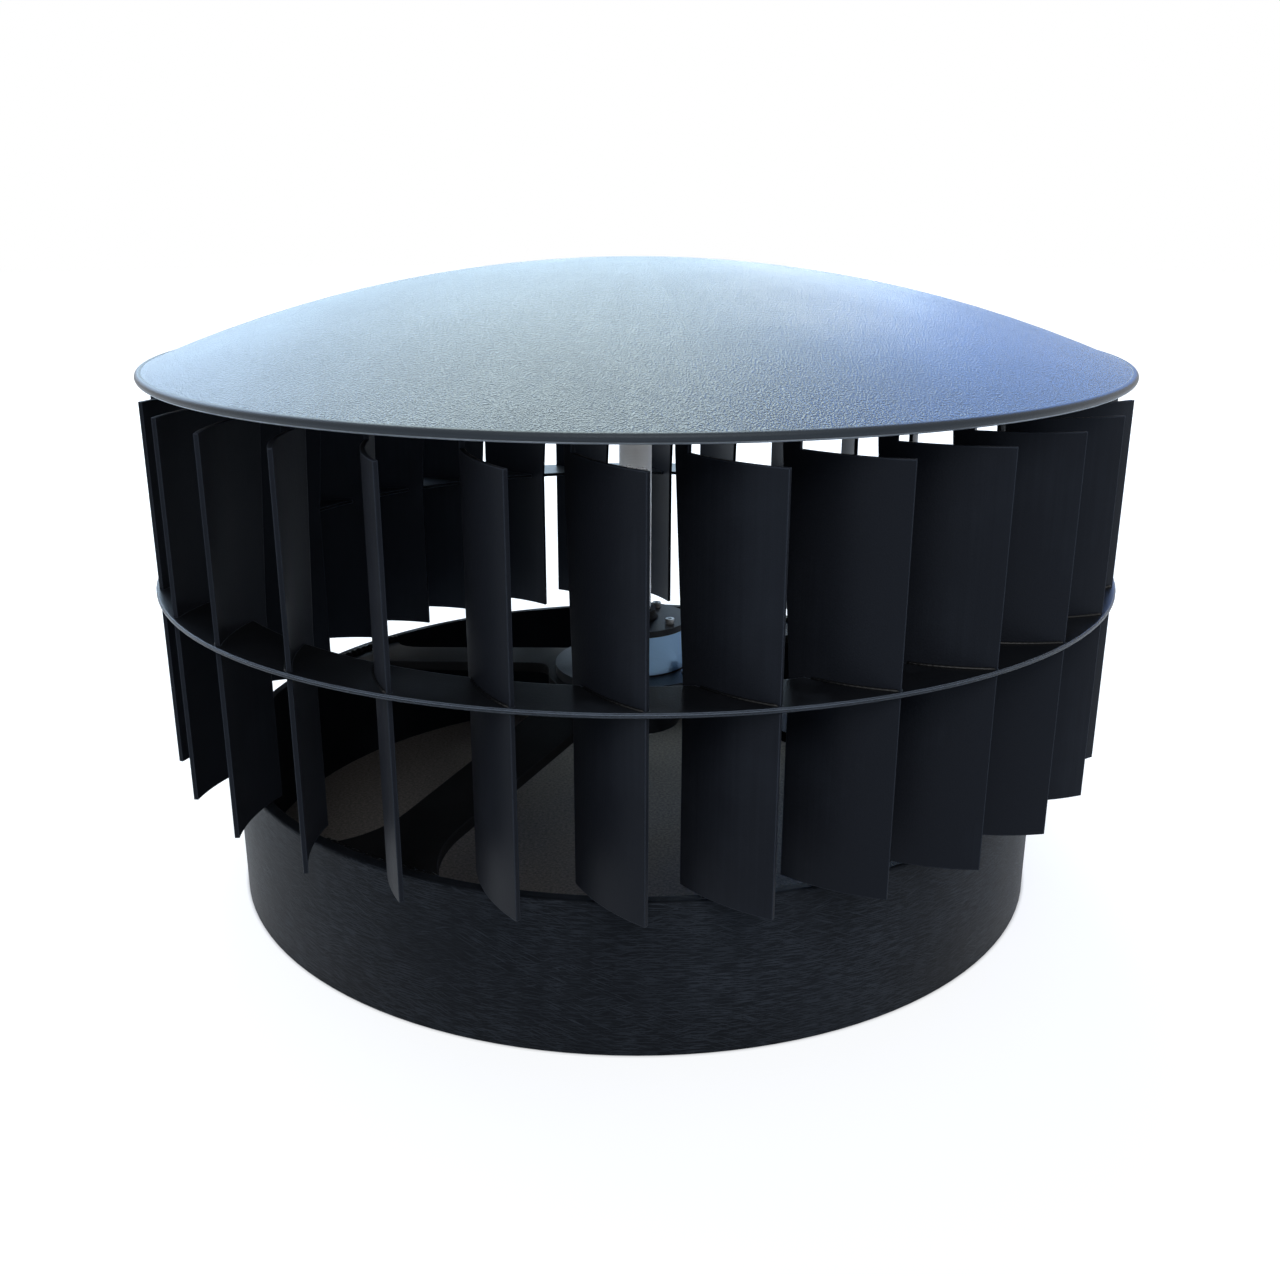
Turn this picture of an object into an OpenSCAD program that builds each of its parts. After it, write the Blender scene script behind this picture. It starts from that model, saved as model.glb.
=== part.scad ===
// Rotary ventilation cowl in black plastic sheet
// A plain round neck stands on the duct. Above it a vaned rotor turns on one
// upright shaft: a domed cap, a closing plate under it, slightly curved
// upright vanes, and a flat ring that ties the vanes together.
// The shaft runs in a bearing housing on a four-armed dished spider that is
// welded into the neck. The origin is the centre of the neck's foot, +Z is up.

/* [Neck] */
// Outside diameter of the neck
neck_d = 630; // [560:5:700]
// Wall of the neck
neck_wall = 8; // [5:0.5:10]
// Height of the neck
neck_h = 108; // [90:1:160]
// Radius of the rounded outer lip of the neck
neck_lip_r = 2.5; // [1:0.5:4]

/* [Rotor] */
// Free height between the neck's rim and the feet of the vanes
rotor_gap = 6.5; // [5:0.5:30]
// Height of the vanes below the ring
lower_vane_h = 129; // [80:1:180]
// Height of the vanes above the ring, up to the closing plate
upper_vane_h = 145; // [100:1:200]
// How far the cap stands out beyond the neck
cap_overhang = 40; // [34:1:60]
// Height of the cap from its lower edge to the crown
cap_rise = 75; // [55:1:110]
// Sheet thickness of the cap
cap_wall = 4; // [3:0.5:6]
// Height of the rounded rim of the cap
cap_rim_h = 6.2; // [5.5:0.1:9]
// Thickness of the closing plate under the cap
plate_t = 4; // [3:0.5:5]

/* [Ring] */
// How far the ring stands out beyond the cap's lower edge
ring_overhang = 3; // [1:0.5:6]
// Thickness of the ring
ring_t = 3; // [2:0.5:5]
// How far the ring's inner edge lies inside the neck's outside
ring_inset = 1; // [0:0.5:3]
// Chamfer on the ring's outer edge
ring_chamfer = 0.8; // [0.3:0.1:0.9]

/* [Vanes] */
// Number of vanes
vane_count = 30; // [20:1:32]
// Sheet thickness of the vanes
vane_t = 3; // [2:0.5:4]
// Radius of the vanes' curve at mid sheet
vane_curve_r = 130; // [90:1:200]
// Angle round the axis from a vane's tip back to its root
vane_sweep = 7.7; // [6:0.1:9]
// Turn of the first vane from the +X axis
vane_phase = 6.8; // [0:0.1:12]
// How far the vane root lies inside the neck's outside
vane_root_inset = 12; // [8:0.5:16]
// How far the vane tip lies inside the cap's lower edge
vane_tip_inset = 0.5; // [0:0.5:8]
// How far the vane's top reaches further inward than its root
vane_top_reach = 10; // [0:1:14]
// Drop of the vane's top edge below the plate at its inner end
vane_top_drop = 13.5; // [2:0.5:20]
// Drop of the vane's top edge below the plate at its tip
vane_tip_drop = 13.5; // [9:0.5:20]
// Width of the tab that joins a vane to the closing plate
tab_w = 12; // [8:1:16]

/* [Spider] */
// Number of arms
arm_count = 4; // [3:1:5]
// Width of an arm
arm_w = 46; // [36:1:60]
// Thickness of the dished sheet
spider_t = 8; // [5:0.5:12]
// Turn of the first arm from the +X axis
arm_phase = 57; // [0:1:90]
// How far the arms' ends lie below the neck's rim
spider_drop = 6; // [4:1:20]
// Rise of the dish from the neck wall to its middle
spider_rise = 44; // [20:1:60]
// Radius of the flat middle
spider_hub_r = 70; // [68:1:85]
// Radius of the corners where an arm meets the wall
wall_fillet = 60; // [20:1:75]
// Radius of the corners where an arm meets the middle
hub_fillet = 30; // [12:1:36]

/* [Shaft and bearings] */
// Bore of the bearings
bearing_bore = 20; // [17:1:22]
// Outside diameter of the bearings
bearing_od = 47; // [45:1:52]
// Width of a bearing
bearing_w = 14; // [12:1:16]
// Diameter of a ball
ball_d = 7.9; // [7:0.1:8.2]
// Number of balls in a bearing
ball_count = 8; // [6:1:9]
// Diameter of the shaft between housing and cap
shaft_d = 25; // [24:0.5:27]
// Outside diameter of the housing
housing_d = 84; // [78:1:92]
// Height of the housing above the spider
housing_up = 40; // [30:1:60]
// Depth of the housing below the spider's top
housing_down = 42; // [36:1:60]
// Radius of the housing's flange
housing_flange_r = 64; // [60:1:67]
// Thickness of the flanges
flange_t = 8; // [6:0.5:12]
// Radius of the flange under the closing plate
hub_flange_r = 65; // [58:1:90]
// Length of the boss under that flange
boss_len = 44; // [30:1:60]
// Radius of that boss
boss_r = 24; // [20:0.5:30]

/* [Fasteners] */
// Thread diameter of the flange bolts
bolt_d = 8; // [6:1:8]
// Number of bolts in the flange under the cap
hub_bolts = 6; // [3:1:8]
// Bolt circle radius in the flange under the cap
hub_bolt_r = 48; // [42:1:50]
// Number of bolts in the housing flange
housing_bolts = 4; // [3:1:6]
// Bolt circle radius in the housing flange
housing_bolt_r = 53; // [51:1:54]

/* [Hidden] */
// Clearance of pieces that seat against each other without a fit
seat = 0.2;
// Clearance of a turned fit
fit = 0.02;
// Facets of turned pieces and of the very large arcs
fine = 96;
huge = 360;

neck_r = neck_d / 2;
neck_in_r = neck_r - neck_wall;
cap_r = neck_r + cap_overhang;
vane_z0 = neck_h + rotor_gap;
ring_z0 = vane_z0 + lower_vane_h;
ring_z1 = ring_z0 + ring_t;
cap_z = ring_z1 + upper_vane_h;
plate_z1 = cap_z + plate_t;

// Cap: a spherical crown that ends on a round bead
bead_r = cap_rim_h / 2;
bead_c = cap_r - bead_r + 1.4;
crown_rise = cap_rise - cap_rim_h + 0.8;
crown_r = (bead_c * bead_c + crown_rise * crown_rise) / (2 * crown_rise);
crown_c = cap_z + cap_rise - crown_r;

// Ring
ring_r = cap_r + ring_overhang;
ring_in_r = neck_r - ring_inset;

// Vane: chord from root to tip, seen from above with the first tip on +X
tip_r = cap_r - vane_tip_inset;
root_r = neck_r - vane_root_inset;
root_p = polar(root_r, -vane_sweep);
chord_v = [tip_r, 0] - root_p;
chord_len = norm(chord_v);
chord_a = atan2(chord_v.y, chord_v.x);
half_a = asin(chord_len / 2 / vane_curve_r);
curve_c = [chord_len / 2, vane_curve_r * cos(half_a)];
reach_a = asin((chord_len / 2 + vane_top_reach + 4) / vane_curve_r);

// Shaft line, upwards from the lower end
hub_z = neck_h - spider_drop + spider_rise;
housing_z1 = hub_z + housing_up;
housing_z0 = hub_z - housing_down;
cover_t = 5;
cover_spigot = 2;
clip_room = 6;
top_brg_z = housing_z1 - cover_spigot - bearing_w;
low_brg_z = housing_z0 + clip_room;
bore_r = bearing_bore / 2;
shaft_r = shaft_d / 2;
boss_z0 = cap_z - flange_t - boss_len;
washer_t = 3;
lock_nut_h = 14;
top_nut_h = 16;
shaft_z0 = low_brg_z - washer_t - lock_nut_h - 4;
shaft_z1 = plate_z1 + washer_t + top_nut_h + 5;
big_nut_af = bearing_bore * 1.5;
big_washer_r = bearing_bore * 0.68;

// Bearing rings: the ball track lies midway between bore and outside
pitch_r = (bearing_bore + bearing_od) / 4;
ball_r = ball_d / 2;
track_r = ball_r + 0.2;
inner_shoulder_r = pitch_r - ball_r * 0.66;
outer_shoulder_r = pitch_r + ball_r * 0.66;
housing_bore_r = outer_shoulder_r - 0.4;

// Bolts
bolt_r = bolt_d / 2;
bolt_af = bolt_d * 1.625;
bolt_head_h = bolt_d * 0.66;
bolt_nut_h = bolt_d * 0.8;
bolt_washer_t = 1.6;
hole_play = 0.25;

VANES = [for (i = [1 : vane_count]) str("vane_", i < 10 ? "0" : "", i)];

function polar(r, a) = [r * cos(a), r * sin(a)];

// Ring of copies round the axis
module around(count, phase = 0) {
    for (i = [0 : count - 1])
        rotate(phase + 360 / count * i)
            children();
}

// Turned tube from z0 to z1
module tube(z0, z1, r_in, r_out) {
    translate([0, 0, z0])
        difference() {
            cylinder(h = z1 - z0, r = r_out, $fn = fine);
            translate([0, 0, -1])
                cylinder(h = z1 - z0 + 2, r = r_in, $fn = fine);
        }
}

// Hexagon across flats, standing on z = 0
module hexagon(af, h) {
    cylinder(h = h, r = af / sqrt(3), $fn = 6);
}

// Hexagon nut or flat washer with its bore
module nut(af, h, r) {
    difference() {
        hexagon(af, h);
        translate([0, 0, -1])
            cylinder(h = h + 2, r = r, $fn = 32);
    }
}

module washer(r_out, h, r) {
    difference() {
        cylinder(h = h, r = r_out, $fn = 48);
        translate([0, 0, -1])
            cylinder(h = h + 2, r = r, $fn = 48);
    }
}

// Strip of an arc about the point c, between two angles of under 180 degrees
module arc_strip(c, r, t, a0, a1) {
    far = (r + t) / cos((a1 - a0) / 2) + 5;
    intersection() {
        difference() {
            translate(c)
                circle(r = r + t / 2, $fn = huge);
            translate(c)
                circle(r = r - t / 2, $fn = huge);
        }
        polygon([c, c + polar(far, a0), c + polar(far, a1)]);
    }
}

// Plan of one vane: the root at the origin, the chord along +X and the hollow
// side towards +Y; the sheet ends square at the tip
module vane_plan(grow = 0) {
    t = vane_t + 2 * grow;
    past = grow / vane_curve_r * 180 / PI;
    arc_strip(curve_c, vane_curve_r, t, -90 - reach_a, -90 + half_a + past);
}

// Moves a vane from its own plan to its place in the rotor
module at_chord(i) {
    rotate(vane_phase + 360 / vane_count * i)
        translate(root_p)
            rotate(chord_a)
                children();
}

// Outline of a vane in its own side view: slanted inner edge above the
// ring, top edge below the cap, tab up into the closing plate
module vane_side() {
    x1 = chord_len + 2 * vane_t;
    top_in = cap_z - vane_top_drop;
    top_out = cap_z - vane_tip_drop;
    polygon([
        [0, vane_z0],
        [x1, vane_z0],
        [x1, top_out],
        [tab_w - vane_top_reach, top_in],
        [tab_w - vane_top_reach, plate_z1 - 0.5],
        [-vane_top_reach, plate_z1 - 0.5],
        [-vane_top_reach, top_in],
        [0, ring_z1]
    ]);
}

module vane(i) {
    color([0.07, 0.07, 0.08])
        at_chord(i)
            intersection() {
                translate([0, 0, vane_z0 - 1])
                    linear_extrude(height = plate_z1 - vane_z0 + 2)
                        vane_plan();
                translate([0, vane_curve_r, 0])
                    rotate([90, 0, 0])
                        linear_extrude(height = 3 * vane_curve_r)
                            vane_side();
            }
}

// Cap: thin spherical crown and a solid round rim
module cap_dome() {
    color([0.12, 0.13, 0.15]) {
        rotate_extrude($fn = huge)
            intersection() {
                translate([0, crown_c])
                    difference() {
                        circle(r = crown_r, $fn = 6 * huge);
                        circle(r = crown_r - cap_wall, $fn = 6 * huge);
                    }
                translate([0, cap_z + cap_rim_h / 2])
                    square([bead_c, cap_rise]);
            }
        translate([0, 0, cap_z + bead_r])
            rotate_extrude($fn = huge)
                translate([bead_c, 0])
                    circle(r = bead_r, $fn = 48);
    }
}

// Closing plate: flat sheet with its edge bevelled to lie under the crown,
// and one slot for each vane's tab
module closing_plate() {
    color([0.07, 0.07, 0.08])
        difference() {
            intersection() {
                translate([0, 0, cap_z])
                    cylinder(h = plate_t, r = bead_c - bead_r - seat, $fn = huge);
                rotate_extrude($fn = huge)
                    intersection() {
                        translate([0, crown_c])
                            circle(r = crown_r - cap_wall - seat, $fn = 6 * huge);
                        translate([0, cap_z - 1])
                            square([cap_r, cap_rise]);
                    }
            }
            for (i = [0 : vane_count - 1])
                at_chord(i)
                    translate([-vane_top_reach, 0, cap_z - 1])
                        linear_extrude(height = plate_t + 2)
                            tab_slot();
            translate([0, 0, cap_z - 1])
                cylinder(h = plate_t + 2, r = bore_r + hole_play, $fn = 48);
            around(hub_bolts)
                translate([hub_bolt_r, 0, cap_z - 1])
                    cylinder(h = plate_t + 2, r = bolt_r + hole_play, $fn = 32);
        }
}

// Slot for one tab, along the vane's curve
module tab_slot() {
    intersection() {
        translate([vane_top_reach, 0])
            vane_plan(seat);
        translate([-seat, -vane_curve_r])
            square([tab_w + 2 * seat, 2 * vane_curve_r]);
    }
}

// Ring: flat sheet with chamfered outer edge and a notch for each vane,
// open towards the middle so that the ring slides up over the vanes
module mid_ring() {
    c = ring_chamfer;
    color([0.10, 0.10, 0.12])
        difference() {
            rotate_extrude($fn = huge)
                polygon([
                    [ring_in_r, ring_z0],
                    [ring_r - c, ring_z0],
                    [ring_r, ring_z0 + c],
                    [ring_r, ring_z1 - c],
                    [ring_r - c, ring_z1],
                    [ring_in_r, ring_z1]
                ]);
            for (i = [0 : vane_count - 1])
                at_chord(i)
                    translate([0, 0, ring_z0 - 1])
                        linear_extrude(height = ring_t + 2)
                            vane_plan(seat);
        }
}

// Neck: tube with a rounded outer lip
module neck() {
    color([0.09, 0.09, 0.10])
        rotate_extrude($fn = huge) {
            translate([neck_in_r, 0])
                square([neck_wall, neck_h - neck_lip_r]);
            translate([neck_in_r, 0])
                square([neck_wall - neck_lip_r, neck_h]);
            translate([neck_r - neck_lip_r, neck_h - neck_lip_r])
                circle(r = neck_lip_r, $fn = 48);
        }
}

// Hollow corner of radius f between an arm's side and the middle
module hub_corner(r, f) {
    d = r + f;
    c = [sqrt(d * d - pow(arm_w / 2 + f, 2)), arm_w / 2 + f];
    difference() {
        polygon([[0, 0], [c.x, 0], c]);
        translate(c)
            circle(r = f, $fn = 96);
    }
}

// Flare of radius f that widens an arm's end where it meets the wall; it
// meets the wall at a blunt angle, so that it doesn't run out to nothing
module wall_corner(r, f) {
    d = r - 0.7 * f;
    c = [sqrt(d * d - pow(arm_w / 2 + f, 2)), arm_w / 2 + f];
    a = atan2(c.y, c.x) - acos((d * d + r * r - f * f) / (2 * d * r));
    difference() {
        polygon([[c.x, 0], [r + f, 0], polar(r + f, a), polar(r, a), c]);
        translate(c)
            circle(r = f, $fn = 96);
    }
}

// Plan of the spider: arms, flat middle and rounded window corners
module spider_plan() {
    wall_r = neck_in_r - seat;
    difference() {
        intersection() {
            circle(r = wall_r, $fn = huge);
            union() {
                circle(r = spider_hub_r, $fn = fine);
                around(arm_count, arm_phase) {
                    translate([0, -arm_w / 2])
                        square([neck_r, arm_w]);
                    for (side = [0, 1])
                        mirror([0, side]) {
                            wall_corner(wall_r, wall_fillet);
                            hub_corner(spider_hub_r, hub_fillet);
                        }
                }
            }
        }
        circle(r = housing_d / 2 - 6 + seat, $fn = fine);
        around(housing_bolts, arm_phase)
            translate([housing_bolt_r, 0])
                circle(r = bolt_r + hole_play, $fn = 32);
    }
}

// Dished sheet: flat middle, then a cone down to the neck wall
module support_spider() {
    rim_z = neck_h - spider_drop;
    color([0.05, 0.05, 0.06])
        intersection() {
            linear_extrude(height = hub_z + 1)
                spider_plan();
            rotate_extrude($fn = huge)
                polygon([
                    [0, hub_z - spider_t],
                    [spider_hub_r, hub_z - spider_t],
                    [neck_r, rim_z - spider_t],
                    [neck_r, rim_z],
                    [spider_hub_r, hub_z],
                    [0, hub_z]
                ]);
        }
}

// Housing: turned body with a flange, a seat for each bearing and a waist
module bearing_housing() {
    seat_r = bearing_od / 2 + fit;
    clip_z = low_brg_z - 2.2;
    low_r = housing_d / 2 - 6;
    color([0.62, 0.64, 0.66])
        difference() {
            union() {
                tube(hub_z, housing_z1, housing_bore_r, housing_d / 2);
                tube(housing_z0, hub_z + 1, housing_bore_r, low_r);
                tube(hub_z, hub_z + flange_t, housing_bore_r, housing_flange_r);
            }
            translate([0, 0, top_brg_z])
                cylinder(h = housing_up, r = seat_r, $fn = fine);
            translate([0, 0, housing_z0 - 1])
                cylinder(h = low_brg_z + bearing_w - housing_z0 + 1, r = seat_r, $fn = fine);
            translate([0, 0, clip_z])
                cylinder(h = 2, r = bearing_od / 2 + 1.3, $fn = fine);
            around(housing_bolts, arm_phase)
                translate([housing_bolt_r, 0, hub_z - 1])
                    cylinder(h = flange_t + 2, r = bolt_r + hole_play, $fn = 32);
            around(4, arm_phase)
                translate([bearing_od / 2 + 9, 0, housing_z1 - 11])
                    cylinder(h = 12, r = 2.05, $fn = 24);
        }
}

// Cover with a spigot that holds the upper bearing down
module housing_cover() {
    color([0.66, 0.68, 0.70])
        difference() {
            union() {
                translate([0, 0, housing_z1])
                    cylinder(h = cover_t, r = housing_d / 2, $fn = fine);
                translate([0, 0, housing_z1 - cover_spigot])
                    cylinder(h = cover_spigot + 1, r = bearing_od / 2 - seat, $fn = fine);
            }
            translate([0, 0, housing_z1 - cover_spigot - 1])
                cylinder(h = cover_t + cover_spigot + 2, r = shaft_r + 1, $fn = fine);
            translate([0, 0, housing_z1 - cover_spigot - 1])
                cylinder(h = 1.6, r = outer_shoulder_r, $fn = fine);
            around(4, arm_phase)
                translate([bearing_od / 2 + 9, 0, housing_z1 - 1])
                    cylinder(h = cover_t + 2, r = 2.3, $fn = 24);
        }
}

// Cap screws of the cover
module cover_screws() {
    color([0.5, 0.5, 0.52])
        around(4, arm_phase)
            translate([bearing_od / 2 + 9, 0, housing_z1 + cover_t]) {
                difference() {
                    cylinder(h = 4, r = 3.5, $fn = 32);
                    translate([0, 0, 1.6])
                        hexagon(3, 4);
                }
                translate([0, 0, -cover_t - 8])
                    cylinder(h = cover_t + 8, r = 2, $fn = 24);
            }
}

// Hexagon bolt: head on z = 0 and above, shank below, washer under the head
module bolt(shank) {
    translate([0, 0, bolt_washer_t])
        hexagon(bolt_af, bolt_head_h);
    cylinder(h = bolt_washer_t, r = bolt_d, $fn = 48);
    translate([0, 0, -shank])
        cylinder(h = shank + 1, r = bolt_r, $fn = 32);
}

module housing_bolts() {
    stack = flange_t + spider_t;
    color([0.6, 0.6, 0.62])
        around(housing_bolts, arm_phase)
            translate([housing_bolt_r, 0, hub_z + flange_t])
                bolt(stack + bolt_nut_h + 3);
}

module housing_nuts() {
    color([0.6, 0.6, 0.62])
        around(housing_bolts, arm_phase)
            translate([housing_bolt_r, 0, hub_z - spider_t - bolt_nut_h])
                nut(bolt_af, bolt_nut_h, bolt_r + fit);
}

// Outer bearing ring with its ball track
module outer_ring(z) {
    color([0.75, 0.76, 0.78])
        translate([0, 0, z])
            rotate_extrude($fn = fine)
                difference() {
                    translate([outer_shoulder_r, 0])
                        square([bearing_od / 2 - outer_shoulder_r, bearing_w]);
                    translate([pitch_r, bearing_w / 2])
                        circle(r = track_r, $fn = 48);
                }
}

// Inner bearing ring with its ball track
module inner_ring(z) {
    color([0.75, 0.76, 0.78])
        translate([0, 0, z])
            rotate_extrude($fn = fine)
                difference() {
                    translate([bore_r + fit, 0])
                        square([inner_shoulder_r - bore_r - fit, bearing_w]);
                    translate([pitch_r, bearing_w / 2])
                        circle(r = track_r, $fn = 48);
                }
}

// Balls held in their pressed cage
module ball_cage(z) {
    color([0.8, 0.8, 0.8])
        translate([0, 0, z + bearing_w / 2]) {
            around(ball_count)
                translate([pitch_r, 0, 0])
                    sphere(r = ball_r, $fn = 32);
            tube(-bearing_w * 0.12, bearing_w * 0.12, pitch_r - 1, pitch_r + 1);
        }
}

module upper_outer_ring() { outer_ring(top_brg_z); }
module lower_outer_ring() { outer_ring(low_brg_z); }
module upper_inner_ring() { inner_ring(top_brg_z); }
module lower_inner_ring() { inner_ring(low_brg_z); }
module upper_ball_cage() { ball_cage(top_brg_z); }
module lower_ball_cage() { ball_cage(low_brg_z); }

// Spring ring that holds the lower bearing up in its seat
module retaining_ring() {
    color([0.25, 0.25, 0.27])
        difference() {
            tube(low_brg_z - 2 - fit, low_brg_z - 0.3, bearing_od / 2 - 2.4, bearing_od / 2 + 1);
            translate([bearing_od / 2 - 4, -4, low_brg_z - 3])
                cube([8, 8, 4]);
        }
}

// Sleeve that keeps the inner rings apart
module spacer_sleeve() {
    color([0.7, 0.7, 0.72])
        tube(low_brg_z + bearing_w, top_brg_z, bore_r + fit, inner_shoulder_r - 0.4);
}

// Shaft: bearing seat below, thicker stretch, threaded seat in the hub flange
module shaft() {
    color([0.7, 0.71, 0.73])
        union() {
            translate([0, 0, shaft_z0])
                cylinder(h = shaft_z1 - shaft_z0, r = bore_r, $fn = fine);
            translate([0, 0, top_brg_z + bearing_w])
                cylinder(h = boss_z0 - top_brg_z - bearing_w, r = shaft_r, $fn = fine);
        }
}

// Rubber ring that turns with the shaft and keeps rain out of the cover
module shaft_seal() {
    z = housing_z1 + cover_t + 0.5;
    color([0.05, 0.05, 0.05])
        rotate_extrude($fn = fine)
            polygon([
                [shaft_r + fit, z + 1.5],
                [shaft_r + 5, z],
                [shaft_r + 6, z + 0.6],
                [shaft_r + 4, z + 3],
                [shaft_r + 4, z + 7],
                [shaft_r + fit, z + 7]
            ]);
}

// Nut on the closing plate and nut under the lower bearing
module shaft_nuts() {
    color([0.6, 0.6, 0.62]) {
        translate([0, 0, plate_z1 + washer_t])
            nut(big_nut_af, top_nut_h, bore_r + fit);
        translate([0, 0, low_brg_z - washer_t - lock_nut_h])
            nut(big_nut_af, lock_nut_h, bore_r + fit);
    }
}

module shaft_washers() {
    color([0.6, 0.6, 0.62]) {
        translate([0, 0, plate_z1])
            washer(big_nut_af * 0.62, washer_t, bore_r + hole_play);
        translate([0, 0, low_brg_z - washer_t])
            washer(big_washer_r, washer_t, bore_r + hole_play);
    }
}

// Flange that carries the rotor: disc under the closing plate and long boss
module hub_flange() {
    z = cap_z - flange_t;
    color([0.55, 0.56, 0.58])
        difference() {
            union() {
                translate([0, 0, z])
                    cylinder(h = flange_t, r = hub_flange_r, $fn = fine);
                translate([0, 0, boss_z0])
                    cylinder(h = boss_len + 1, r = boss_r, $fn = fine);
                translate([0, 0, z - 10])
                    cylinder(h = 10.5, r1 = boss_r, r2 = boss_r + 10, $fn = fine);
            }
            translate([0, 0, boss_z0 - 1])
                cylinder(h = boss_len + flange_t + 2, r = bore_r + fit, $fn = fine);
            around(hub_bolts)
                translate([hub_bolt_r, 0, z - 1])
                    cylinder(h = flange_t + 2, r = bolt_r + hole_play, $fn = 32);
        }
}

module hub_bolts_set() {
    stack = flange_t + plate_t + bolt_nut_h + 3;
    color([0.6, 0.6, 0.62])
        around(hub_bolts)
            translate([hub_bolt_r, 0, cap_z - flange_t])
                rotate([180, 0, 0])
                    bolt(stack);
}

module hub_nuts() {
    color([0.6, 0.6, 0.62])
        around(hub_bolts)
            translate([hub_bolt_r, 0, plate_z1])
                nut(bolt_af, bolt_nut_h, bolt_r + fit);
}

neck();
support_spider();
bearing_housing();
housing_cover();
cover_screws();
housing_bolts();
housing_nuts();
upper_outer_ring();
lower_outer_ring();
retaining_ring();
upper_ball_cage();
lower_ball_cage();
upper_inner_ring();
lower_inner_ring();
spacer_sleeve();
shaft();
shaft_seal();
shaft_nuts();
shaft_washers();
hub_flange();
hub_bolts_set();
hub_nuts();
closing_plate();
cap_dome();
mid_ring();
for (i = [0 : vane_count - 1])
    vane(i);
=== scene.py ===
# %% [markdown]
# # A turning ventilation cowl in black plastic
# The cowl stands on a round duct. A ring of curved upright vanes turns on one
# shaft under a low domed cap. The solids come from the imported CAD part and
# stay as they are. This lesson gives them finishes, adds a fine skin on the
# cap's rim and the welds that hold the sheets together, and lights the cowl
# as in a plain studio. All lengths are in metres.

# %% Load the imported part
import math

import bmesh
import bpy
import numpy as np
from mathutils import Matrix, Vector


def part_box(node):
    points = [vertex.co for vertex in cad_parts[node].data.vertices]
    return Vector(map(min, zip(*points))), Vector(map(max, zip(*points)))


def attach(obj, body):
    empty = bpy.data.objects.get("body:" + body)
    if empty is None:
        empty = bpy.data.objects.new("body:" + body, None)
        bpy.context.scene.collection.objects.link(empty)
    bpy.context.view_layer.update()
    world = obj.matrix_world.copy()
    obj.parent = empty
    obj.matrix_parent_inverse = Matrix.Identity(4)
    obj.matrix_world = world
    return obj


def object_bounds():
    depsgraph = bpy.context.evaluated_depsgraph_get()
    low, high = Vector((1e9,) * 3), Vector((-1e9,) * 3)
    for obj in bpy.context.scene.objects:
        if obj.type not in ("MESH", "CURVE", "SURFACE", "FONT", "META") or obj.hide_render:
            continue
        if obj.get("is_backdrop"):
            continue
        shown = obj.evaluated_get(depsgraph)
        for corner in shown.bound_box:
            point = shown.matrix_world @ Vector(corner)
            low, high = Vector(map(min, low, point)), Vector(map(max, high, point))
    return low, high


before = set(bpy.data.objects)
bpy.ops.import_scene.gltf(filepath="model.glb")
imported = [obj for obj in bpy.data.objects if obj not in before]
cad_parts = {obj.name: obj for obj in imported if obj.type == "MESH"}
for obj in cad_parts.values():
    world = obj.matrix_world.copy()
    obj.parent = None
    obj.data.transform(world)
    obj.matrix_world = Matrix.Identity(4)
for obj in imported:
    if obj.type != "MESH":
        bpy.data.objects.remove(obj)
cad_box = [list(v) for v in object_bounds()]
print("CAD box:", [[round(c, 4) for c in v] for v in cad_box])

# %% Main sizes, as in the part's source
CAP_R = 0.355
NECK_R = 0.315
CAP_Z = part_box("cap_dome")[0].z
FULL_TURN = 2 * math.pi
print("foot of the cap at", round(CAP_Z, 4))

# %% [markdown]
# ## The camera
# The picture was taken from a little above the cap. Its focal length, its
# tilt and its place were worked out from the round edges of the cap, the
# ring and the neck, which are true circles on the real thing. The place is
# given in radii of the cap: to the right, away from the viewer and above the
# cap's foot. A small shift frames the cowl as in the picture, so that no crop
# is needed.

# %% Camera at the picture's viewpoint
WIDTH_PX = 1280
HEIGHT_PX = 1276
FOCAL_PX = 1370.99
CENTRE_PX = (628.59, 662.22)
PITCH = 0.3330
PLACE_IN_CAP_RADII = (-0.0148, -2.95, 0.3467)
SENSOR_MM = 36.0
NEAR_CLIP = 0.01

cam_data = bpy.data.cameras.new("camera")
cam_data.sensor_fit = "HORIZONTAL"
cam_data.sensor_width = SENSOR_MM
cam_data.lens = FOCAL_PX / WIDTH_PX * SENSOR_MM
cam_data.shift_x = (WIDTH_PX / 2 - CENTRE_PX[0]) / WIDTH_PX
cam_data.shift_y = (CENTRE_PX[1] - HEIGHT_PX / 2) / WIDTH_PX
cam_data.clip_start = NEAR_CLIP
camera = bpy.data.objects.new("camera", cam_data)
right, back, high = [share * CAP_R for share in PLACE_IN_CAP_RADII]
camera.location = (right, back, CAP_Z + high)
camera.rotation_euler = (math.pi / 2 - PITCH, 0.0, 0.0)
bpy.context.scene.collection.objects.link(camera)
bpy.context.scene.camera = camera
print("camera at", [round(c, 4) for c in camera.location], "lens", round(cam_data.lens, 2))

# %% [markdown]
# ## Short cuts for shader nodes
# A material is a small graph. A few helpers keep its code short. They add a
# node and fill its sockets, with a value or with a wire from another node,
# and they do arithmetic on the wires.

# %% Nodes and their inputs
def fill(node, **values):
    """Sets plain inputs of a node by name; underscores in names stand for spaces."""
    for key, value in values.items():
        node.inputs[key.replace("_", " ")].default_value = value


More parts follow.
